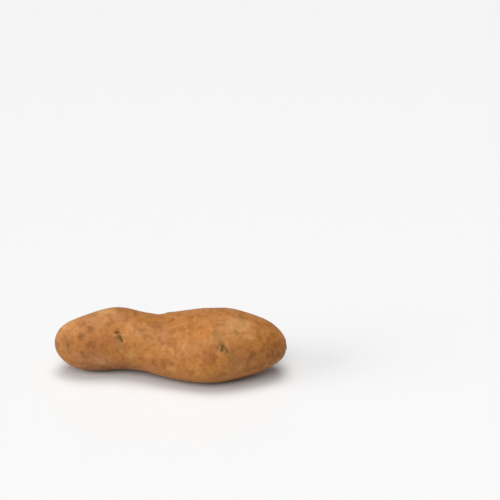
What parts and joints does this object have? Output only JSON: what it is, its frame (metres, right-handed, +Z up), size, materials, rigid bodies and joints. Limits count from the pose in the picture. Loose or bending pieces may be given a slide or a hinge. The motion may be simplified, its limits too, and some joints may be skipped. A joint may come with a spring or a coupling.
{
  "type": "fingerling potato",
  "caption": "Whole raw fingerling potato lying on its side: a long, slightly bent tuber with a narrow waist, rounded ends and shallow eyes.",
  "frame": {"origin": "on the surface that the potato lies on, under the middle of its bounding box", "axes": "+X along the length from the bud end to the stem end, +Z up, +Y to the back"},
  "size_m": [0.1146, 0.0418, 0.033],
  "materials": {
    "skin": "thin ochre potato skin, matte with a faint satin sheen, mottled, with darker eyes and fine specks"
  },
  "bodies": {
    "root": {"tuber": "skin"}
  },
  "joints": []
}
